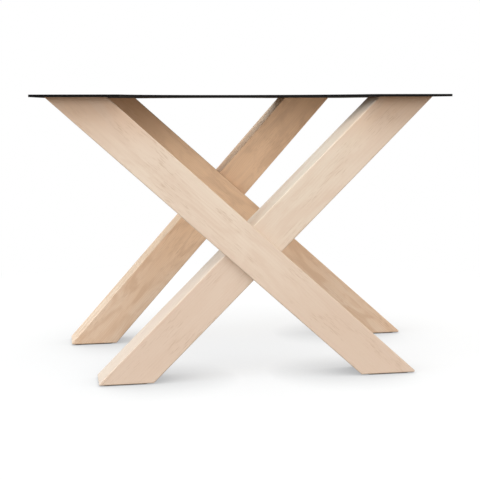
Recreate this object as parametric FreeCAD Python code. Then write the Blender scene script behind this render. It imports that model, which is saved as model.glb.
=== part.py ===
"""Table base of two crossed-beam frames under one black steel plate, in millimetres.

The floor is z = 0, the frames stand parallel to X, and the origin lies on the floor under the
middle of the whole base.
Each frame is two square hardwood beams that cross in a halving joint, with the falling beam
set a little in front of the rising one. Both ends of a beam are mitred level: the foot stands
on a felt pad and the head is screwed to the plate.
"""

import FreeCAD
import Part
import math
import os
from dataclasses import dataclass

Vec = FreeCAD.Vector
UP = Vec(0, 0, 1)

# Edges and points nearer than this lie in the same place
SAME_PLACE = 0.01

# Beams
BEAM_FACE = 100.0
BEAM_DEPTH = 100.0
BEAM_HEAD_Z = 720.0
BEAM_EDGE_R = 3.0
FRAME_PITCH = 470.0

# Frames: distance between the beams' middles, and how far that span lies off the origin
FRONT_HEAD_SPAN = 832.0
FRONT_HEAD_SHIFT = -17.0
FRONT_FOOT_SPAN = 686.0
FRONT_FOOT_SHIFT = 18.0
REAR_HEAD_SPAN = 582.0
REAR_HEAD_SHIFT = -39.0
REAR_FOOT_SPAN = 862.0
REAR_FOOT_SHIFT = 43.0

# Halving joints: the falling beam's face stands in front of the rising beam's by the step
LAP_STEP = 15.0
LAP_CLEARANCE = 0.1

# Foot pads
PAD_LENGTH = 112.0
PAD_WIDTH = 84.0
PAD_THICKNESS = 3.0
PAD_CORNER_R = 8.0

# Top plate: its rear corners reach past the rear heads by the overhang and the flare
PLATE_THICKNESS = 6.0
PLATE_OVERHANG = 38.0
PLATE_REAR_FLARE = 37.0
PLATE_CORNER_R = 12.0
SCALLOP_MARGIN = 25.0
FRONT_SCALLOP_DEPTH = 220.0
REAR_SCALLOP_DEPTH = 130.0
SCALLOP_CORNER_R = 12.0

# Holes for fixing a table top from below
TOP_HOLE_D = 8.5
TOP_HOLE_INSET = 22.0
WAIST_HOLE_SPACING_X = 300.0
WAIST_HOLE_INSET = 45.0

# Countersunk machine screws and the threaded inserts that they turn into
SCREW_D = 6.0
SCREW_LENGTH = 25.0
SCREW_HEAD_D = 12.0
SCREW_SOCKET_SIDES = 6
SCREW_SOCKET_FLATS = 4.0
SCREW_SOCKET_DEPTH = 2.2
SCREW_PITCH = 56.0
SCREW_LEAD_CHAMFER = 0.8
SCREW_HOLE_CLEARANCE = 0.3
COUNTERSINK_CLEARANCE = 0.15
INSERT_D = 10.0
INSERT_LENGTH = 18.0
INSERT_FLANGE_D = 13.0
INSERT_FLANGE_T = 1.2
INSERT_CLEARANCE = 0.1
INSERT_HOLE_SPARE = 6.0


@dataclass(frozen=True)
class Beam:
    """One straight beam of a frame, given by its middle at the foot and at the head."""

    foot_x: float
    head_x: float
    front_y: float

    @property
    def foot_z(self):
        """Level of the mitred foot, on top of its pad."""
        return PAD_THICKNESS

    @property
    def middle_y(self):
        """Plane halfway through the beam's depth."""
        return self.front_y + BEAM_DEPTH / 2

    @property
    def rise(self):
        """Height from the foot to the head."""
        return BEAM_HEAD_Z - self.foot_z

    @property
    def axis(self):
        """Unit vector along the beam, from foot to head."""
        return Vec(self.head_x - self.foot_x, 0, self.rise).normalize()

    @property
    def level_width(self):
        """Width of the face on a level cut."""
        return BEAM_FACE / self.axis.z

    def blank(self, spare=0.0):
        """Square-edged beam, widened by a clearance on both sides of its face."""
        half = self.level_width / 2 + spare / self.axis.z
        outline = [
            Vec(self.foot_x - half, self.front_y, self.foot_z),
            Vec(self.foot_x + half, self.front_y, self.foot_z),
            Vec(self.head_x + half, self.front_y, BEAM_HEAD_Z),
            Vec(self.head_x - half, self.front_y, BEAM_HEAD_Z),
        ]
        face = Part.Face(Part.makePolygon(outline + outline[:1]))
        return face.extrude(Vec(0, BEAM_DEPTH, 0))

    def eased(self):
        """Beam with its long edges and the edges of its foot rounded over."""
        solid = self.blank()
        rounded = []
        for edge in solid.Edges:
            box = edge.BoundBox
            at_foot = box.ZMax < self.foot_z + SAME_PLACE
            along = box.ZMax - box.ZMin > self.rise / 2
            if at_foot or along:
                rounded.append(edge)
        return solid.makeFillet(BEAM_EDGE_R, rounded)

    def screw_places(self):
        """Points on the head where its two screws go, set inward over the beam's thick side."""
        lean = -self.axis.x / self.axis.z
        inward = lean * (SCREW_LENGTH - PLATE_THICKNESS) / 2
        middle = Vec(self.head_x + inward, self.middle_y, BEAM_HEAD_Z)
        return [middle + Vec(side * SCREW_PITCH / 2, 0, 0) for side in (-1, 1)]


def frame_beams(head_span, head_shift, foot_span, foot_shift, front_y):
    """The falling beam (head on the left) and the rising beam of one frame."""
    half_step = LAP_STEP / 2
    falling = Beam(foot_shift + foot_span / 2, head_shift - head_span / 2, front_y - half_step)
    rising = Beam(foot_shift - foot_span / 2, head_shift + head_span / 2, front_y + half_step)
    return falling, rising


def depth_slab(start_y, end_y):
    """Tall slab between two depths, wide enough to hold any beam."""
    reach = 4 * BEAM_HEAD_Z
    return Part.makeBox(2 * reach, end_y - start_y, 2 * reach, Vec(-reach, start_y, -reach / 2))


def halved_pair(falling, rising):
    """Both beams of a frame, halved into each other on the plane midway between their middles."""
    meeting_y = (falling.middle_y + rising.middle_y) / 2
    back_half = depth_slab(meeting_y, rising.front_y + 2 * BEAM_DEPTH)
    front_half = depth_slab(falling.front_y - BEAM_DEPTH, meeting_y)
    falling_cut = rising.blank(LAP_CLEARANCE).common(back_half)
    rising_cut = falling.blank(LAP_CLEARANCE).common(front_half)
    return falling.eased().cut(falling_cut), rising.eased().cut(rising_cut)


def insert_pocket(place):
    """Hole in a beam's head for a threaded insert, its flange and the screw's tip."""
    depth = INSERT_LENGTH + INSERT_HOLE_SPARE
    hole = Part.makeCylinder(INSERT_D / 2 + INSERT_CLEARANCE, depth, place, UP * -1)
    seat = Part.makeCylinder(INSERT_FLANGE_D / 2 + INSERT_CLEARANCE, INSERT_FLANGE_T, place, UP * -1)
    return hole.fuse(seat)


def bored(beam_solid, beam):
    """A beam with the pockets for its inserts."""
    for place in beam.screw_places():
        beam_solid = beam_solid.cut(insert_pocket(place))
    return beam_solid


def threaded_insert(place):
    """Flanged sleeve, flush with the beam's head."""
    sleeve = Part.makeCylinder(INSERT_D / 2, INSERT_LENGTH, place, UP * -1)
    flange = Part.makeCylinder(INSERT_FLANGE_D / 2, INSERT_FLANGE_T, place, UP * -1)
    bore = Part.makeCylinder(SCREW_D / 2 + INSERT_CLEARANCE, INSERT_LENGTH, place, UP * -1)
    return sleeve.fuse(flange).removeSplitter().cut(bore)


def countersunk_screw(place):
    """Screw turned about its axis, head flush with the plate's top, with a hexagon socket."""
    head_z = PLATE_THICKNESS
    cone = (SCREW_HEAD_D - SCREW_D) / 2
    tip_z = head_z - SCREW_LENGTH
    profile = [
        Vec(0, 0, head_z),
        Vec(SCREW_HEAD_D / 2, 0, head_z),
        Vec(SCREW_D / 2, 0, head_z - cone),
        Vec(SCREW_D / 2, 0, tip_z + SCREW_LEAD_CHAMFER),
        Vec(SCREW_D / 2 - SCREW_LEAD_CHAMFER, 0, tip_z),
        Vec(0, 0, tip_z),
    ]
    body = Part.Face(Part.makePolygon(profile + profile[:1])).revolve(Vec(), UP, 360)
    step = 2 * math.pi / SCREW_SOCKET_SIDES
    radius = SCREW_SOCKET_FLATS / 2 / math.cos(step / 2)
    corners = []
    for side in range(SCREW_SOCKET_SIDES):
        turn = side * step
        corners.append(Vec(radius * math.cos(turn), radius * math.sin(turn), head_z))
    outline = Part.makePolygon(corners + corners[:1])
    socket = Part.Face(outline).extrude(Vec(0, 0, -SCREW_SOCKET_DEPTH))
    screw = body.cut(socket)
    screw.translate(place)
    return screw


def foot_pad(beam):
    """Felt pad under a beam's foot."""
    corner = Vec(beam.foot_x - PAD_LENGTH / 2, beam.middle_y - PAD_WIDTH / 2, 0)
    pad = Part.makeBox(PAD_LENGTH, PAD_WIDTH, PAD_THICKNESS, corner)
    upright = [edge for edge in pad.Edges if edge.BoundBox.ZLength > PAD_THICKNESS / 2]
    return pad.makeFillet(PAD_CORNER_R, upright)


@dataclass(frozen=True)
class PlateOutline:
    """Plan of the top plate, worked out from the heads that it covers."""

    front: float
    rear: float
    front_ends: tuple
    rear_ends: tuple
    front_gap: tuple
    rear_gap: tuple

    @classmethod
    def over(cls, front_pair, rear_pair):
        """Outline that overhangs every head, with a scallop between the heads of each frame."""
        front = min(beam.front_y for beam in front_pair) - PLATE_OVERHANG
        rear = max(beam.front_y for beam in rear_pair) + BEAM_DEPTH + PLATE_OVERHANG
        reaches = (PLATE_OVERHANG, PLATE_OVERHANG + PLATE_REAR_FLARE)
        ends, gaps = [], []
        for (falling, rising), reach in zip((front_pair, rear_pair), reaches):
            left = falling.head_x - falling.level_width / 2 - reach
            right = rising.head_x + rising.level_width / 2 + reach
            ends.append((left, right))
            start = falling.head_x + falling.level_width / 2 + SCALLOP_MARGIN
            end = rising.head_x - rising.level_width / 2 - SCALLOP_MARGIN
            gaps.append((start, end))
        return cls(front, rear, *ends, *gaps)

    @property
    def front_waist(self):
        """Depth of the outline at the bottom of the front scallop."""
        return self.front + FRONT_SCALLOP_DEPTH

    @property
    def rear_waist(self):
        """Depth of the outline at the bottom of the rear scallop."""
        return self.rear - REAR_SCALLOP_DEPTH

    def corners(self, inset=0.0):
        """The four outer corners, front left first, or points set in from them."""
        spots = []
        for (left, right), y in (
            (self.front_ends, self.front + inset),
            (self.rear_ends, self.rear - inset),
        ):
            spots.append(Vec(left + inset, y, BEAM_HEAD_Z))
            spots.append(Vec(right - inset, y, BEAM_HEAD_Z))
        return spots

    def wire(self):
        """Closed outline, with each scallop an arc through three points."""
        z = BEAM_HEAD_Z
        front_start, front_end = self.front_gap
        rear_start, rear_end = self.rear_gap
        front_from = Vec(front_start, self.front, z)
        front_to = Vec(front_end, self.front, z)
        front_middle = Vec((front_start + front_end) / 2, self.front_waist, z)
        rear_from = Vec(rear_start, self.rear, z)
        rear_to = Vec(rear_end, self.rear, z)
        rear_middle = Vec((rear_start + rear_end) / 2, self.rear_waist, z)
        front_left, front_right, rear_left, rear_right = self.corners()
        edges = [
            Part.makeLine(front_left, front_from),
            Part.Arc(front_from, front_middle, front_to).toShape(),
            Part.makeLine(front_to, front_right),
            Part.makeLine(front_right, rear_right),
            Part.makeLine(rear_right, rear_to),
            Part.Arc(rear_to, rear_middle, rear_from).toShape(),
            Part.makeLine(rear_from, rear_left),
            Part.makeLine(rear_left, front_left),
        ]
        return Part.Wire(edges)

    def waist_holes(self):
        """Middles of the four holes across the narrow middle of the plate."""
        middle = sum(self.rear_gap) / 2
        xs = (middle - WAIST_HOLE_SPACING_X / 2, middle + WAIST_HOLE_SPACING_X / 2)
        ys = (self.front_waist + WAIST_HOLE_INSET, self.rear_waist - WAIST_HOLE_INSET)
        return [Vec(x, y, BEAM_HEAD_Z) for x in xs for y in ys]


def rounded_plate(outline):
    """Flat plate with its outer corners and the corners of its scallops rounded."""
    plate = Part.Face(outline.wire()).extrude(Vec(0, 0, PLATE_THICKNESS))
    corners = [corner + UP * (PLATE_THICKNESS / 2) for corner in outline.corners()]
    outer, inner = [], []
    for edge in plate.Edges:
        if edge.BoundBox.ZLength < PLATE_THICKNESS / 2:
            continue
        off_corner = min(edge.CenterOfMass.distanceToPoint(corner) for corner in corners)
        (outer if off_corner < SAME_PLACE else inner).append(edge)
    plate = plate.makeFillet(PLATE_CORNER_R, outer)
    places = [edge.CenterOfMass for edge in inner]
    scallop_corners = []
    for edge in plate.Edges:
        if edge.BoundBox.ZLength < PLATE_THICKNESS / 2:
            continue
        if min(edge.CenterOfMass.distanceToPoint(place) for place in places) < SAME_PLACE:
            scallop_corners.append(edge)
    return plate.makeFillet(SCALLOP_CORNER_R, scallop_corners)


def countersink(place):
    """Clearance hole with a countersink that seats the screw's head."""
    shank_r = SCREW_D / 2 + SCREW_HOLE_CLEARANCE
    head_r = SCREW_HEAD_D / 2 + COUNTERSINK_CLEARANCE
    depth = head_r - shank_r
    hole = Part.makeCylinder(shank_r, PLATE_THICKNESS, place)
    cone = Part.makeCone(shank_r, head_r, depth, place + UP * (PLATE_THICKNESS - depth))
    return hole.fuse(cone)


def top_plate(outline, screw_places):
    """Laser-cut steel plate, countersunk over the beams and drilled for a table top."""
    plate = rounded_plate(outline)
    for place in screw_places:
        plate = plate.cut(countersink(place))
    for place in outline.corners(TOP_HOLE_INSET) + outline.waist_holes():
        plate = plate.cut(Part.makeCylinder(TOP_HOLE_D / 2, PLATE_THICKNESS, place))
    return plate


def build():
    """All pieces by node name; a list is a group of equal pieces."""
    front_y = -(FRAME_PITCH + BEAM_DEPTH) / 2
    front_pair = frame_beams(
        FRONT_HEAD_SPAN, FRONT_HEAD_SHIFT, FRONT_FOOT_SPAN, FRONT_FOOT_SHIFT, front_y
    )
    rear_pair = frame_beams(
        REAR_HEAD_SPAN, REAR_HEAD_SHIFT, REAR_FOOT_SPAN, REAR_FOOT_SHIFT, front_y + FRAME_PITCH
    )
    beams = front_pair + rear_pair
    solids = halved_pair(*front_pair) + halved_pair(*rear_pair)
    names = ("front_falling_beam", "front_rising_beam", "rear_falling_beam", "rear_rising_beam")
    pieces = {}
    for name, beam, solid in zip(names, beams, solids):
        pieces[name] = bored(solid, beam)
    places = [place for beam in beams for place in beam.screw_places()]
    pieces["top_plate"] = top_plate(PlateOutline.over(front_pair, rear_pair), places)
    pieces["threaded_inserts"] = [threaded_insert(place) for place in places]
    pieces["plate_screws"] = [countersunk_screw(place) for place in places]
    pieces["foot_pads"] = [foot_pad(beam) for beam in beams]
    return pieces


def main():
    """Write each piece, or group of equal pieces, to its own file."""
    os.makedirs("parts", exist_ok=True)
    for name, shape in build().items():
        if isinstance(shape, list):
            shape = Part.makeCompound(shape)
        shape.exportStep(os.path.join("parts", name + ".step"))


main()
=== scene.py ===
"""Crossed-beam table base: pale wood, black plate, small fittings, and a white studio.

The shapes come from the CAD frame. This script dresses them with procedural finishes, sets the
light and places the camera.
"""

import logging
import math
from dataclasses import dataclass, field, replace
from enum import Enum

import bpy
from mathutils import Matrix, Vector


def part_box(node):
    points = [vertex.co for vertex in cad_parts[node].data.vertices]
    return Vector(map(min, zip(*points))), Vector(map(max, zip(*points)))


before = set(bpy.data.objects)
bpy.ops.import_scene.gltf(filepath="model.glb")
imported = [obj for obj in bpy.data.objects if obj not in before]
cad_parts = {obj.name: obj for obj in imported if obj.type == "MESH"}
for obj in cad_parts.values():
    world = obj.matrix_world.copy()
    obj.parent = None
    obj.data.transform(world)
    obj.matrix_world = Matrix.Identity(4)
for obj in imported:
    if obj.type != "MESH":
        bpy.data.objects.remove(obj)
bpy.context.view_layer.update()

logging.basicConfig(level=logging.INFO, format="%(name)s: %(message)s")
LOG = logging.getLogger("table_base")

Colour = tuple[float, float, float]
Triple = tuple[float, float, float]
Span = tuple[float, float]

WHITE: Colour = (1.0, 1.0, 1.0)

# Distance between nodes in the node editor
NODE_STEP = 180

# Places of the Mix node's sockets that carry the factor and the colours
MIX_FACTOR = 0
MIX_FIRST = 6
MIX_SECOND = 7
MIX_RESULT = 2

# Levels between which most of a noise lies
NOISE_SPAN: Span = (0.3, 0.7)


class Lean(Enum):
    """Which way a beam runs, seen from the front."""

    FALLING = "head on the left"
    RISING = "head on the right"


class Channel(Enum):
    """Kind of socket that a node group offers."""

    VALUE = "NodeSocketFloat"
    VECTOR = "NodeSocketVector"


class NodeSheet:
    """A shader node tree that is filled from left to right."""

    def __init__(self, tree: bpy.types.NodeTree) -> None:
        """Keep the tree and clear what Blender puts in it."""
        self.tree = tree
        self.tree.nodes.clear()

    def add(self, kind: str, **settings: object) -> bpy.types.Node:
        """Add a node.

        Args:
            kind: the node's type, without the leading ShaderNode where it has one.
            settings: properties to set on the node.

        Returns:
            The new node.
        """
        name = kind if kind.startswith("NodeGroup") else "ShaderNode" + kind
        node = self.tree.nodes.new(name)
        for key, value in settings.items():
            setattr(node, key, value)
        node.location.x = NODE_STEP * len(self.tree.nodes)
        return node

    def link(self, source: bpy.types.NodeSocket, target: bpy.types.NodeSocket) -> None:
        """Join an output to an input."""
        self.tree.links.new(source, target)

    def feed(self, target: bpy.types.NodeSocket, value: object) -> None:
        """Join an output to an input, or set the input to a fixed value.

        Args:
            target: the input.
            value: an output socket, a number or an opaque colour.
        """
        if isinstance(value, bpy.types.NodeSocket):
            self.link(value, target)
        elif isinstance(value, tuple):
            target.default_value = (*value, 1.0)
        else:
            target.default_value = value

    def math(self, operation: str, first: object, second: object = 0.0,
             third: object = 0.0) -> bpy.types.NodeSocket:
        """Work on up to three values.

        Args:
            operation: the Math node's operation.
            first: a socket or a number.
            second: a socket or a number.
            third: a socket or a number.

        Returns:
            The socket with the result.
        """
        node = self.add("Math", operation=operation)
        for socket, value in zip(node.inputs, (first, second, third)):
            self.feed(socket, value)
        return node.outputs["Value"]

    def noise(self, vector: bpy.types.NodeSocket, scale: Triple,
              detail: float = 2.0, rough: float = 0.5) -> bpy.types.Node:
        """Noise whose scale differs along and across the grain.

        Args:
            vector: coordinates in metres.
            scale: cycles per metre in each direction.
            detail: octaves of finer noise.
            rough: strength of the finer octaves.

        Returns:
            The noise node.
        """
        stretch = self.add("Mapping")
        stretch.inputs["Scale"].default_value = scale
        self.link(vector, stretch.inputs["Vector"])
        texture = self.add("TexNoise")
        texture.inputs["Scale"].default_value = 1.0
        texture.inputs["Detail"].default_value = detail
        texture.inputs["Roughness"].default_value = rough
        self.link(stretch.outputs["Vector"], texture.inputs["Vector"])
        return texture

    def ramp(self, value: bpy.types.NodeSocket, span: Span) -> bpy.types.NodeSocket:
        """Stretch a value smoothly from a span onto 0 to 1.

        Args:
            value: the socket with the value.
            span: the levels that become 0 and 1, in falling order for a falling ramp.

        Returns:
            The socket with the result.
        """
        node = self.add("MapRange", interpolation_type="SMOOTHSTEP")
        node.inputs["From Min"].default_value, node.inputs["From Max"].default_value = span
        self.link(value, node.inputs["Value"])
        return node.outputs["Result"]

    def mix(self, factor: object, first: object, second: object,
            blend: str = "MIX") -> bpy.types.NodeSocket:
        """Mix two colours.

        Args:
            factor: how much of the second colour shows, a socket or a number.
            first: a colour socket or a colour.
            second: a colour socket or a colour.
            blend: the Mix node's blend type.

        Returns:
            The socket with the mixed colour.
        """
        node = self.add("Mix", data_type="RGBA", blend_type=blend)
        self.feed(node.inputs[MIX_FACTOR], factor)
        self.feed(node.inputs[MIX_FIRST], first)
        self.feed(node.inputs[MIX_SECOND], second)
        return node.outputs[MIX_RESULT]


def new_material(name: str) -> tuple[bpy.types.Material, NodeSheet]:
    """Start a material.

    Args:
        name: the material's name.

    Returns:
        The material and its empty sheet.
    """
    material = bpy.data.materials.new(name)
    material.use_nodes = True
    return material, NodeSheet(material.node_tree)


def new_group(name: str, inputs: dict[str, tuple[Channel, object]],
              outputs: dict[str, Channel]) -> tuple[NodeSheet, bpy.types.Node, bpy.types.Node]:
    """Start a node group.

    Args:
        name: the group's name.
        inputs: kind and starting value of each input.
        outputs: kind of each output.

    Returns:
        The sheet to fill, its input node and its output node.
    """
    tree = bpy.data.node_groups.new(name, "ShaderNodeTree")
    for label, (kind, value) in inputs.items():
        socket = tree.interface.new_socket(label, in_out="INPUT", socket_type=kind.value)
        if value is not None:
            socket.default_value = value
    for label, kind in outputs.items():
        tree.interface.new_socket(label, in_out="OUTPUT", socket_type=kind.value)
    sheet = NodeSheet(tree)
    return sheet, sheet.add("NodeGroupInput"), sheet.add("NodeGroupOutput")


@dataclass(frozen=True)
class GrainPattern:
    """Scales of the grain in cycles per metre, along the beam first, and levels of its masks."""

    drift_scale: Triple = (1.1, 4.0, 4.0)
    drift_reach: Triple = (0.0, 0.05, 0.05)
    ring_rise: Span = (0.25, 0.9)
    ring_fall: Span = (1.0, 0.94)
    uneven_scale: Triple = (3.0, 26.0, 26.0)
    uneven_span: Span = (0.25, 0.8)
    fibre_scale: Triple = (9.0, 520.0, 520.0)
    dash_scale: Triple = (40.0, 560.0, 560.0)
    dash_span: Span = (0.54, 0.7)
    patch_scale: Triple = (9.0, 26.0, 26.0)
    patch_span: Span = (0.44, 0.64)
    streak_scale: Triple = (1.6, 30.0, 30.0)
    tone_scale: Triple = (1.8, 5.0, 5.0)
    swirl_scale: Triple = (7.0, 24.0, 24.0)
    swirl_distortion: float = 1.4
    swirl_span: Span = (0.42, 0.66)
    fibre_height: float = 0.6
    ring_height: float = 0.25
    fleck_depth: float = 0.5


@dataclass
class Effects:
    """Node groups that several finishes share."""

    pattern: GrainPattern = GrainPattern()
    bevel_samples: int = 4
    edge_span: Span = (0.995, 0.8)
    worn_span: Span = (0.3, 0.65)
    grain: bpy.types.NodeTree = field(init=False)
    speckle: bpy.types.NodeTree = field(init=False)
    edge_wear: bpy.types.NodeTree = field(init=False)

    def build(self) -> None:
        """Make every group once."""
        self.grain = self.build_grain()
        self.speckle = self.build_speckle()
        self.edge_wear = self.build_edge_wear()

    def ring_radius(self, sheet: NodeSheet, place: bpy.types.NodeSocket) -> bpy.types.NodeSocket:
        """Distance from the pith, which wanders a little so that the rings run in shallow waves.

        Args:
            sheet: the tree that gets the nodes.
            place: coordinates with the beam along X.

        Returns:
            The socket with the distance.
        """
        drift = sheet.noise(place, self.pattern.drift_scale, detail=3.0)
        centred = sheet.add("VectorMath", operation="SUBTRACT")
        centred.inputs[1].default_value = (0.5, 0.5, 0.5)
        sheet.link(drift.outputs["Color"], centred.inputs[0])
        wander = sheet.add("VectorMath", operation="MULTIPLY")
        wander.inputs[1].default_value = self.pattern.drift_reach
        sheet.link(centred.outputs[0], wander.inputs[0])
        across = sheet.add("VectorMath", operation="MULTIPLY_ADD")
        across.inputs[1].default_value = (0.0, 1.0, 1.0)
        sheet.link(place, across.inputs[0])
        sheet.link(wander.outputs[0], across.inputs[2])
        radius = sheet.add("VectorMath", operation="LENGTH")
        sheet.link(across.outputs[0], radius.inputs[0])
        return radius.outputs["Value"]

    def build_grain(self) -> bpy.types.NodeTree:
        """Straight-grained timber round a pith line that runs along local X.

        Returns:
            A group with masks for late wood, fibres, flecks, streaks, tone and figure, and a height.
        """
        sheet, given, result = new_group(
            "StraightGrain",
            {
                "Vector": (Channel.VECTOR, None),
                "Ring Width": (Channel.VALUE, 0.004),
            },
            {
                "Late Wood": Channel.VALUE,
                "Fibre": Channel.VALUE,
                "Fleck": Channel.VALUE,
                "Streak": Channel.VALUE,
                "Tone": Channel.VALUE,
                "Figure": Channel.VALUE,
                "Height": Channel.VALUE,
            },
        )
        place = given.outputs["Vector"]
        pattern = self.pattern

        # Each ring darkens slowly towards its late wood and ends sharply
        turns = sheet.math("DIVIDE", self.ring_radius(sheet, place), given.outputs["Ring Width"])
        phase = sheet.math("FRACT", turns)
        late = sheet.math(
            "MULTIPLY", sheet.ramp(phase, pattern.ring_rise), sheet.ramp(phase, pattern.ring_fall)
        )
        uneven = sheet.noise(place, pattern.uneven_scale).outputs["Fac"]
        late = sheet.math("MULTIPLY", late, sheet.ramp(uneven, pattern.uneven_span))

        # Short dark flecks gather in patches
        dashes = sheet.noise(place, pattern.dash_scale, detail=1.0).outputs["Fac"]
        patches = sheet.noise(place, pattern.patch_scale).outputs["Fac"]
        fleck = sheet.math(
            "MULTIPLY", sheet.ramp(dashes, pattern.dash_span), sheet.ramp(patches, pattern.patch_span)
        )

        fibre = sheet.noise(place, pattern.fibre_scale, detail=3.0, rough=0.6).outputs["Fac"]
        streak = sheet.noise(place, pattern.streak_scale, detail=4.0, rough=0.55).outputs["Fac"]
        tone = sheet.noise(place, pattern.tone_scale).outputs["Fac"]
        swirl = sheet.noise(place, pattern.swirl_scale, detail=4.0, rough=0.55)
        swirl.inputs["Distortion"].default_value = pattern.swirl_distortion
        figure = sheet.ramp(swirl.outputs["Fac"], pattern.swirl_span)

        height = sheet.math("MULTIPLY", fibre, pattern.fibre_height)
        height = sheet.math("MULTIPLY_ADD", late, pattern.ring_height, height)
        height = sheet.math("MULTIPLY_ADD", fleck, -pattern.fleck_depth, height)
        for label, socket in (
            ("Late Wood", late),
            ("Fibre", sheet.ramp(fibre, NOISE_SPAN)),
            ("Fleck", fleck),
            ("Streak", sheet.ramp(streak, NOISE_SPAN)),
            ("Tone", sheet.ramp(tone, NOISE_SPAN)),
            ("Figure", figure),
            ("Height", height),
        ):
            sheet.link(socket, result.inputs[label])
        return sheet.tree

    @staticmethod
    def build_speckle() -> bpy.types.NodeTree:
        """Fine even grit over slow clouds, for paint, metal and felt.

        Returns:
            A group with masks for the grit and the clouds.
        """
        sheet, given, result = new_group(
            "Speckle",
            {
                "Vector": (Channel.VECTOR, None),
                "Grit Scale": (Channel.VALUE, 900.0),
                "Cloud Scale": (Channel.VALUE, 14.0),
            },
            {"Grit": Channel.VALUE, "Cloud": Channel.VALUE},
        )
        for label, scale, detail in (("Grit", "Grit Scale", 2.0), ("Cloud", "Cloud Scale", 4.0)):
            texture = sheet.add("TexNoise")
            texture.inputs["Detail"].default_value = detail
            sheet.link(given.outputs["Vector"], texture.inputs["Vector"])
            sheet.link(given.outputs[scale], texture.inputs["Scale"])
            sheet.link(sheet.ramp(texture.outputs["Fac"], NOISE_SPAN), result.inputs[label])
        return sheet.tree

    def build_edge_wear(self) -> bpy.types.NodeTree:
        """Mask of the edges, broken up by a patchy noise.

        Returns:
            A group with one mask.
        """
        sheet, given, result = new_group(
            "EdgeWear",
            {
                "Vector": (Channel.VECTOR, None),
                "Width": (Channel.VALUE, 0.004),
                "Patch Scale": (Channel.VALUE, 40.0),
            },
            {"Mask": Channel.VALUE},
        )
        softened = sheet.add("Bevel", samples=self.bevel_samples)
        sheet.link(given.outputs["Width"], softened.inputs["Radius"])
        surface = sheet.add("NewGeometry")
        facing = sheet.add("VectorMath", operation="DOT_PRODUCT")
        sheet.link(softened.outputs["Normal"], facing.inputs[0])
        sheet.link(surface.outputs["Normal"], facing.inputs[1])
        edge = sheet.ramp(facing.outputs["Value"], self.edge_span)
        patch = sheet.add("TexNoise")
        patch.inputs["Detail"].default_value = 3.0
        sheet.link(given.outputs["Vector"], patch.inputs["Vector"])
        sheet.link(given.outputs["Patch Scale"], patch.inputs["Scale"])
        broken = sheet.ramp(patch.outputs["Fac"], self.worn_span)
        sheet.link(sheet.math("MULTIPLY", edge, broken), result.inputs["Mask"])
        return sheet.tree


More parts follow.
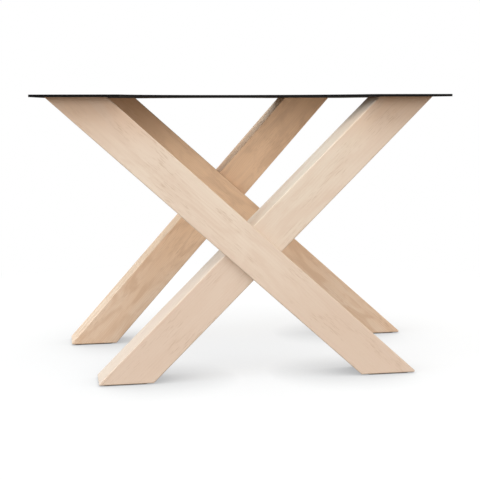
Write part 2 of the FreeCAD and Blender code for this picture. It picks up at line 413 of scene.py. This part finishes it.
@dataclass(frozen=True)
class WoodFinish:
    """Pale close-grained hardwood, sanded and oiled matt, with painted shade at the head, painted
    shading towards the foot and painted shade on the edges.
    """

    pale: Colour = (0.74, 0.665, 0.565)
    warm: Colour = (0.69, 0.565, 0.475)
    figured: Colour = (0.665, 0.535, 0.44)
    late_wood: Colour = (0.58, 0.44, 0.34)
    fleck: Colour = (0.42, 0.28, 0.18)
    # Edge colour: wear on the patchy edges, and painted shade that dims the highlight on the rounded
    # long edges
    edge_wear_and_shade: Colour = (0.635, 0.52, 0.41)
    # Colour towards the foot: partly the wood's tone, partly painted shading for how the light falls
    # off towards the floor
    foot: Colour = (0.665, 0.54, 0.445)
    # Painted shade: the wood darkens towards its head, where the plate shades it
    head: Colour = (0.63, 0.44, 0.31)
    foot_shading_span: Span = (0.42, 0.1)
    head_shade_span: Span = (0.56, 0.72)
    foot_shading_share: float = 0.45
    head_shade_share: float = 0.8
    streak_share: float = 0.35
    figure_share: float = 0.55
    ring_share: float = 0.22
    fibre_share: float = 0.12
    fleck_share: float = 0.36
    edge_share: float = 0.3
    eased_shade_share: float = 0.3
    eased_rise: Span = (0.08, 0.3)
    eased_fall: Span = (0.99, 0.9)
    ring_width: float = 0.0042
    edge_width: float = 0.004
    rough: float = 0.52
    fibre_rough: float = 0.1
    wear_polish: float = 0.08
    specular: float = 0.2
    bump_strength: float = 0.12
    bump_distance: float = 0.0004

    def eased_mask(self, sheet: NodeSheet) -> bpy.types.NodeSocket:
        """Mask of the rounded long edges, whose normals lie between the beam's faces; the wood takes
        painted shade on it.

        Args:
            sheet: the tree that gets the nodes.

        Returns:
            The socket with the mask.
        """
        facing = sheet.add("SeparateXYZ")
        sheet.link(sheet.add("NewGeometry").outputs["Normal"], facing.inputs[0])
        depth = sheet.math("ABSOLUTE", facing.outputs["Y"])
        return sheet.math(
            "MULTIPLY", sheet.ramp(depth, self.eased_rise), sheet.ramp(depth, self.eased_fall)
        )

    def layer_colour(self, sheet: NodeSheet, place: bpy.types.NodeSocket, grain: bpy.types.Node,
                     wear: bpy.types.Node) -> bpy.types.NodeSocket:
        """Lay the wood's colours over each other, from its ground tone to its edges, with painted
        shading at the foot, the head and the edges.

        Args:
            sheet: the tree that gets the nodes.
            place: object coordinates.
            grain: the node with the grain's masks.
            wear: the node with the edges' mask.

        Returns:
            The socket with the colour.
        """
        level = sheet.add("SeparateXYZ")
        sheet.link(place, level.inputs[0])
        colour = sheet.mix(grain.outputs["Tone"], self.pale, self.warm)
        for mask, share, tint in (
            # Towards the foot: partly the wood's tone, partly painted shading
            (sheet.ramp(level.outputs["Z"], self.foot_shading_span), self.foot_shading_share, self.foot),
            # Painted shade towards the head, under the plate
            (sheet.ramp(level.outputs["Z"], self.head_shade_span), self.head_shade_share, self.head),
            (grain.outputs["Streak"], self.streak_share, self.warm),
            (grain.outputs["Figure"], self.figure_share, self.figured),
            (grain.outputs["Late Wood"], self.ring_share, self.late_wood),
            (grain.outputs["Fibre"], self.fibre_share, self.late_wood),
            (grain.outputs["Fleck"], self.fleck_share, self.fleck),
            # The patchy edge mask gives wear and also painted shade that breaks up the edges'
            # highlight; the eased mask is painted shade on every rounded long edge
            (wear.outputs["Mask"], self.edge_share, self.edge_wear_and_shade),
            (self.eased_mask(sheet), self.eased_shade_share, self.edge_wear_and_shade),
        ):
            colour = sheet.mix(sheet.math("MULTIPLY", mask, share), colour, tint)
        return colour

    def dress(self, effects: Effects, name: str, turn: float, pith: Vector) -> bpy.types.Material:
        """Make the material of one beam.

        Args:
            effects: the shared node groups.
            name: the material's name.
            turn: the beam's angle in the XZ plane.
            pith: where the log's pith line lies from the origin, in the beam's own directions.

        Returns:
            The new material.
        """
        material, sheet = new_material(name)
        place = sheet.add("TexCoord").outputs["Object"]
        along = sheet.add("Mapping")
        along.inputs["Rotation"].default_value = (0.0, turn, 0.0)
        along.inputs["Location"].default_value = pith
        sheet.link(place, along.inputs["Vector"])
        grain = sheet.add("Group", node_tree=effects.grain)
        grain.inputs["Ring Width"].default_value = self.ring_width
        sheet.link(along.outputs["Vector"], grain.inputs["Vector"])
        wear = sheet.add("Group", node_tree=effects.edge_wear)
        wear.inputs["Width"].default_value = self.edge_width
        sheet.link(place, wear.inputs["Vector"])
        colour = self.layer_colour(sheet, place, grain, wear)

        rough = sheet.math("MULTIPLY_ADD", grain.outputs["Fibre"], self.fibre_rough, self.rough)
        rough = sheet.math("MULTIPLY_ADD", wear.outputs["Mask"], -self.wear_polish, rough)
        bump = sheet.add("Bump")
        bump.inputs["Strength"].default_value = self.bump_strength
        bump.inputs["Distance"].default_value = self.bump_distance
        sheet.link(grain.outputs["Height"], bump.inputs["Height"])
        shader = sheet.add("BsdfPrincipled")
        shader.inputs["Specular IOR Level"].default_value = self.specular
        sheet.link(colour, shader.inputs["Base Color"])
        sheet.link(rough, shader.inputs["Roughness"])
        sheet.link(bump.outputs["Normal"], shader.inputs["Normal"])
        output = sheet.add("OutputMaterial")
        sheet.link(shader.outputs["BSDF"], output.inputs["Surface"])
        return material


SAPWOOD = WoodFinish()
# A paler ground tone, and a stronger painted shading towards the foot
PALE_SAPWOOD = replace(SAPWOOD, pale=(0.775, 0.69, 0.59), foot_shading_share=0.95)
# The rear frame's wood: a warmer heartwood tone, with its colours painted lighter to stand in for
# light that the rear frame lacks under the plate
PAINTED_LIGHTER_HEART_TIMBER = WoodFinish(
    pale=(0.875, 0.63, 0.43),
    warm=(0.805, 0.55, 0.36),
    figured=(0.645, 0.435, 0.29),
    late_wood=(0.64, 0.43, 0.28),
    fleck=(0.45, 0.27, 0.155),
    edge_wear_and_shade=(0.685, 0.495, 0.355),
    foot=(0.82, 0.70, 0.585),
    head=(0.62, 0.40, 0.255),
    foot_shading_share=0.8,
    head_shade_share=0.2,
    figure_share=0.6,
    ring_share=0.4,
    fibre_share=0.2,
)
# The same wood with a deeper painted shade at its head, where the plate and the front beam shade it
HEAD_SHADED_HEART_TIMBER = replace(PAINTED_LIGHTER_HEART_TIMBER, head=(0.48, 0.30, 0.19), head_shade_share=0.85)


@dataclass(frozen=True)
class SpeckledFinish:
    """A finish of one colour broken by fine grit, slow clouds and worn edges."""

    name: str
    colour: Colour
    clouded: Colour
    worn: Colour
    metallic: float = 0.0
    rough: float = 0.5
    rough_spread: float = 0.12
    grit_scale: float = 900.0
    cloud_scale: float = 14.0
    grit_share: float = 0.4
    cloud_share: float = 0.6
    edge_width: float = 0.0015
    edge_share: float = 0.4
    bump_distance: float = 0.0001
    bump_strength: float = 0.3
    specular: float = 0.5
    sheen: float = 0.0

    def dress(self, effects: Effects) -> bpy.types.Material:
        """Make the material.

        Args:
            effects: the shared node groups.

        Returns:
            The new material.
        """
        material, sheet = new_material(self.name)
        place = sheet.add("TexCoord").outputs["Object"]
        speckle = sheet.add("Group", node_tree=effects.speckle)
        speckle.inputs["Grit Scale"].default_value = self.grit_scale
        speckle.inputs["Cloud Scale"].default_value = self.cloud_scale
        sheet.link(place, speckle.inputs["Vector"])
        wear = sheet.add("Group", node_tree=effects.edge_wear)
        wear.inputs["Width"].default_value = self.edge_width
        sheet.link(place, wear.inputs["Vector"])

        grit = sheet.math("MULTIPLY", speckle.outputs["Grit"], self.grit_share)
        cloud = sheet.math("MULTIPLY_ADD", speckle.outputs["Cloud"], self.cloud_share, grit)
        colour = sheet.mix(cloud, self.colour, self.clouded)
        edge = sheet.math("MULTIPLY", wear.outputs["Mask"], self.edge_share)
        colour = sheet.mix(edge, colour, self.worn)
        smoothest = self.rough - self.rough_spread / 2
        rough = sheet.math("MULTIPLY_ADD", cloud, self.rough_spread, smoothest)
        bump = sheet.add("Bump")
        bump.inputs["Strength"].default_value = self.bump_strength
        bump.inputs["Distance"].default_value = self.bump_distance
        sheet.link(speckle.outputs["Grit"], bump.inputs["Height"])
        shader = sheet.add("BsdfPrincipled")
        shader.inputs["Metallic"].default_value = self.metallic
        shader.inputs["Specular IOR Level"].default_value = self.specular
        shader.inputs["Sheen Weight"].default_value = self.sheen
        sheet.link(colour, shader.inputs["Base Color"])
        sheet.link(rough, shader.inputs["Roughness"])
        sheet.link(bump.outputs["Normal"], shader.inputs["Normal"])
        output = sheet.add("OutputMaterial")
        sheet.link(shader.outputs["BSDF"], output.inputs["Surface"])
        return material


POWDER_COAT = SpeckledFinish(
    name="black_powder_coat",
    colour=(0.004, 0.004, 0.0044),
    clouded=(0.007, 0.007, 0.0074),
    worn=(0.012, 0.012, 0.0126),
    rough=0.62,
    grit_scale=1100.0,
    cloud_scale=9.0,
    edge_width=0.0008,
    bump_distance=0.00012,
    specular=0.1,
)
BLACK_OXIDE = SpeckledFinish(
    name="black_oxide_steel",
    colour=(0.05, 0.05, 0.054),
    clouded=(0.075, 0.075, 0.08),
    worn=(0.30, 0.30, 0.31),
    metallic=1.0,
    rough=0.36,
    grit_scale=2600.0,
    cloud_scale=160.0,
    edge_width=0.0005,
    bump_distance=0.00003,
)
TURNED_BRASS = SpeckledFinish(
    name="turned_brass",
    colour=(0.70, 0.52, 0.24),
    clouded=(0.60, 0.43, 0.18),
    worn=(0.82, 0.64, 0.34),
    metallic=1.0,
    rough=0.32,
    grit_scale=3000.0,
    cloud_scale=120.0,
    edge_width=0.0005,
    bump_distance=0.00003,
)
PRESSED_FELT = SpeckledFinish(
    name="pressed_felt",
    colour=(0.045, 0.041, 0.037),
    clouded=(0.085, 0.078, 0.070),
    worn=(0.12, 0.11, 0.10),
    rough=0.92,
    rough_spread=0.1,
    grit_scale=1500.0,
    cloud_scale=220.0,
    edge_width=0.001,
    bump_distance=0.0006,
    bump_strength=0.8,
    sheen=0.35,
)


def give_material(node: str, material: bpy.types.Material) -> None:
    """Put a material in every slot of a CAD node's object.

    Args:
        node: the CAD node.
        material: what it is dressed in.
    """
    piece = bpy.data.objects[node]
    if not piece.material_slots:
        piece.data.materials.append(material)
    for slot in piece.material_slots:
        slot.material = material
    LOG.info("%s dressed in %s", node, material.name)


@dataclass
class CrossFrame:
    """One frame of two beams that cross."""

    beams: dict[Lean, str]
    piths: dict[Lean, Triple]
    finishes: dict[Lean, WoodFinish]
    end_band: float = 0.004

    def turn(self, node: str) -> float:
        """Angle of a beam in the XZ plane, from the middles of its foot and its head.

        Args:
            node: the beam's CAD node.

        Returns:
            The angle in radians, 0 along X.
        """
        low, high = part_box(node)
        points = [point.co for point in bpy.data.objects[node].data.vertices]
        foot = [point.x for point in points if point.z < low[2] + self.end_band]
        head = [point.x for point in points if point.z > high[2] - self.end_band]
        run = (min(head) + max(head)) / 2 - (min(foot) + max(foot)) / 2
        return math.atan2(high[2] - low[2], run)

    def dress(self, effects: Effects) -> None:
        """Give each beam wood whose grain runs along it.

        Args:
            effects: the shared node groups.
        """
        for lean, node in self.beams.items():
            turn = self.turn(node)
            pith = Vector(self.piths[lean])
            give_material(node, self.finishes[lean].dress(effects, node + "_wood", turn, pith))
            LOG.info("%s leans %.1f degrees", node, math.degrees(turn))


@dataclass
class TopPlate:
    """The steel plate with its screws and the inserts below them."""

    plate: str = "top_plate"
    screws: str = "plate_screws"
    inserts: str = "threaded_inserts"

    def dress(self, effects: Effects) -> None:
        """Coat the plate and finish its fittings.

        Args:
            effects: the shared node groups.
        """
        give_material(self.plate, POWDER_COAT.dress(effects))
        give_material(self.screws, BLACK_OXIDE.dress(effects))
        give_material(self.inserts, TURNED_BRASS.dress(effects))


@dataclass
class FootPads:
    """The felt pads under the feet."""

    pads: str = "foot_pads"

    def dress(self, effects: Effects) -> None:
        """Give the pads their felt."""
        give_material(self.pads, PRESSED_FELT.dress(effects))


@dataclass(frozen=True)
class Lamp:
    """A far lamp, given by where it stands round the base; it adds no gloss of its own."""

    name: str
    azimuth: float
    elevation: float
    strength: float
    spread: float
    colour: Colour = WHITE
    distance: float = 4.0

    def build(self) -> None:
        """Add the lamp."""
        data = bpy.data.lights.new(self.name, "SUN")
        data.energy = self.strength
        data.angle = math.radians(self.spread)
        data.color = self.colour
        lamp = bpy.data.objects.new(self.name, data)
        bpy.context.scene.collection.objects.link(lamp)
        side = math.radians(self.azimuth)
        height = math.radians(self.elevation)
        towards = Vector((
            math.sin(side) * math.cos(height),
            -math.cos(side) * math.cos(height),
            math.sin(height),
        ))
        lamp.location = towards * self.distance
        lamp.rotation_euler = towards.to_track_quat("Z", "Y").to_euler()
        lamp.visible_glossy = False
        LOG.info("lamp %s added", self.name)


@dataclass(frozen=True)
class FillPanel:
    """A weak panel between the frames that opens up the shade on the rear frame."""

    place: Triple = (0.10, -0.14, 0.52)
    width: float = 0.5
    height: float = 0.3
    power: float = 0.29

    def build(self, floor: bpy.types.Object) -> None:
        """Add the panel, unseen by the camera and turned to the rear.

        Args:
            floor: the floor, which the panel doesn't light.
        """
        data = bpy.data.lights.new("fill_panel", "AREA")
        data.shape = "RECTANGLE"
        data.size = self.width
        data.size_y = self.height
        data.energy = self.power
        panel = bpy.data.objects.new("fill_panel", data)
        bpy.context.scene.collection.objects.link(panel)
        panel.location = self.place
        panel.rotation_euler = (math.radians(90.0), 0.0, 0.0)
        panel.visible_camera = False
        panel.visible_glossy = False
        unlit = bpy.data.collections.new("unlit_by_fill_panel")
        unlit.objects.link(floor)
        unlit.collection_objects[0].light_linking.link_state = "EXCLUDE"
        panel.light_linking.receiver_collection = unlit
        LOG.info("fill panel added")


@dataclass
class Studio:
    """White floor, white surroundings and soft lamps."""

    ambient: float = 0.69
    ambient_tint: Colour = (1.0, 0.92, 0.82)
    floor_seen: Colour = (0.94, 0.97, 1.0)
    floor_bounce: Colour = (0.33, 0.26, 0.20)
    floor_half: float = 40.0
    floor_veil: float = 0.8
    fade_span: Span = (0.9, 1.7)
    contact_reach: float = 0.16
    contact_shade: Colour = (0.55, 0.555, 0.56)
    canopy_reach: float = 0.9
    canopy_shade: Colour = (0.87, 0.875, 0.88)
    shade_samples: int = 16
    lamps: tuple[Lamp, ...] = (
        Lamp("front_left_lamp", -30.0, 13.0, strength=0.66, spread=36.0),
        Lamp("front_lamp", 5.0, 12.0, strength=0.44, spread=36.0),
        Lamp("high_front_lamp", -10.0, 60.0, strength=0.72, spread=40.0),
        Lamp("high_left_lamp", -50.0, 58.0, strength=0.58, spread=40.0, colour=(0.94, 0.98, 1.0)),
        Lamp("high_right_lamp", 50.0, 50.0, strength=0.35, spread=40.0),
        Lamp("back_lamp", 180.0, 12.0, strength=0.5, spread=40.0),
        Lamp("left_lamp", -84.0, 16.0, strength=1.6, spread=40.0, colour=(0.62, 0.84, 1.0)),
    )
    fill: FillPanel = FillPanel()

    def build(self) -> None:
        """Add the floor, the surroundings and the lamps."""
        self.build_world()
        floor = self.build_floor()
        for lamp in self.lamps:
            lamp.build()
        self.fill.build(floor)

    @staticmethod
    def seen_directly(sheet: NodeSheet) -> bpy.types.NodeSocket:
        """Value of 1 for rays that show the surroundings rather than light the base.

        Args:
            sheet: the tree that gets the nodes.

        Returns:
            The socket with the value.
        """
        path = sheet.add("LightPath")
        mirrored = sheet.math(
            "MAXIMUM", path.outputs["Is Glossy Ray"], path.outputs["Is Transmission Ray"]
        )
        return sheet.math("MAXIMUM", path.outputs["Is Camera Ray"], mirrored)

    def build_world(self) -> None:
        """White surroundings, dimmer as a source of light."""
        world = bpy.data.worlds.new("white_studio")
        world.use_nodes = True
        bpy.context.scene.world = world
        sheet = NodeSheet(world.node_tree)
        seen = self.seen_directly(sheet)
        light = sheet.add("Background")
        light.inputs["Strength"].default_value = self.ambient
        light.inputs["Color"].default_value = (*self.ambient_tint, 1.0)
        white = sheet.add("Background")
        white.inputs["Strength"].default_value = 1.0
        white.inputs["Color"].default_value = (*WHITE, 1.0)
        both = sheet.add("MixShader")
        sheet.link(seen, both.inputs[0])
        sheet.link(light.outputs[0], both.inputs[1])
        sheet.link(white.outputs[0], both.inputs[2])
        output = sheet.add("OutputWorld")
        sheet.link(both.outputs[0], output.inputs["Surface"])

    def build_floor(self) -> bpy.types.Object:
        """Pale floor that keeps the shadow near the base and turns white further out.

        Returns:
            The floor's object.
        """
        bpy.ops.object.select_all(action="DESELECT")
        bpy.ops.mesh.primitive_plane_add(size=2 * self.floor_half, location=(0.0, 0.0, 0.0))
        floor = bpy.context.object
        floor.name = "studio_floor"
        material, sheet = new_material("studio_floor")
        place = sheet.add("TexCoord").outputs["Object"]
        distance = sheet.add("VectorMath", operation="LENGTH")
        sheet.link(place, distance.inputs[0])
        far = sheet.ramp(distance.outputs["Value"], self.fade_span)
        by_camera = sheet.add("LightPath").outputs["Is Camera Ray"]
        veil = sheet.math("MULTIPLY", sheet.math("MAXIMUM", far, self.floor_veil), by_camera)
        shade = self.floor_shade(sheet)
        seen = sheet.mix(1.0, shade, self.floor_seen, blend="MULTIPLY")
        matt = sheet.add("BsdfDiffuse")
        sheet.link(sheet.mix(by_camera, self.floor_bounce, seen), matt.inputs["Color"])
        white = sheet.add("Emission")
        sheet.link(shade, white.inputs["Color"])
        both = sheet.add("MixShader")
        sheet.link(veil, both.inputs[0])
        sheet.link(matt.outputs[0], both.inputs[1])
        sheet.link(white.outputs[0], both.inputs[2])
        output = sheet.add("OutputMaterial")
        sheet.link(both.outputs[0], output.inputs["Surface"])
        floor.data.materials.append(material)
        LOG.info("floor added")
        return floor

    def floor_shade(self, sheet: NodeSheet) -> bpy.types.NodeSocket:
        """Shade of the floor, dark where the feet meet it and dim under the whole base.

        Args:
            sheet: the tree that gets the nodes.

        Returns:
            The socket with the colour, white on open floor.
        """
        stages = []
        for reach, dark in (
            (self.contact_reach, self.contact_shade),
            (self.canopy_reach, self.canopy_shade),
        ):
            openness = sheet.add("AmbientOcclusion", samples=self.shade_samples)
            openness.inputs["Distance"].default_value = reach
            stages.append(sheet.mix(openness.outputs["AO"], dark, WHITE))
        contact, canopy = stages
        return sheet.mix(1.0, contact, canopy, blend="MULTIPLY")


@dataclass
class PhotoCamera:
    """Camera at the photograph's place, for a square picture; angles in degrees."""

    place: Triple = (-0.4826, -2.8391, 0.7030)
    yaw: float = 9.9726
    pitch: float = 7.4549
    roll: float = 0.1797
    focal_pixels: float = 1041.07
    picture_pixels: float = 480.0
    sensor: float = 36.0

    def build(self) -> None:
        """Add the camera and look through it."""
        data = bpy.data.cameras.new("photo_camera")
        data.sensor_width = self.sensor
        data.lens = self.sensor * self.focal_pixels / self.picture_pixels
        camera = bpy.data.objects.new("photo_camera", data)
        bpy.context.scene.collection.objects.link(camera)
        turn = Matrix.Rotation(math.radians(-self.yaw), 4, "Z")
        tip = Matrix.Rotation(math.radians(90.0 - self.pitch), 4, "X")
        tilt = Matrix.Rotation(math.radians(-self.roll), 4, "Z")
        camera.matrix_world = Matrix.Translation(self.place) @ turn @ tip @ tilt
        bpy.context.scene.camera = camera
        LOG.info("camera placed")


def main() -> None:
    """Dress the base, then add the studio and the camera."""
    effects = Effects()
    effects.build()
    front = CrossFrame(
        beams={Lean.FALLING: "front_falling_beam", Lean.RISING: "front_rising_beam"},
        piths={Lean.FALLING: (0.3, 0.42, 0.16), Lean.RISING: (1.9, 0.40, -0.13)},
        finishes={Lean.FALLING: PALE_SAPWOOD, Lean.RISING: SAPWOOD},
    )
    rear = CrossFrame(
        beams={Lean.FALLING: "rear_falling_beam", Lean.RISING: "rear_rising_beam"},
        piths={Lean.FALLING: (3.4, -0.06, 0.15), Lean.RISING: (5.2, -0.10, -0.17)},
        finishes={Lean.FALLING: HEAD_SHADED_HEART_TIMBER, Lean.RISING: PAINTED_LIGHTER_HEART_TIMBER},
    )
    for piece in (front, rear, TopPlate(), FootPads()):
        piece.dress(effects)
    Studio().build()
    PhotoCamera().build()
    bpy.context.scene.view_settings.view_transform = "Standard"


if __name__ == "__main__":
    main()
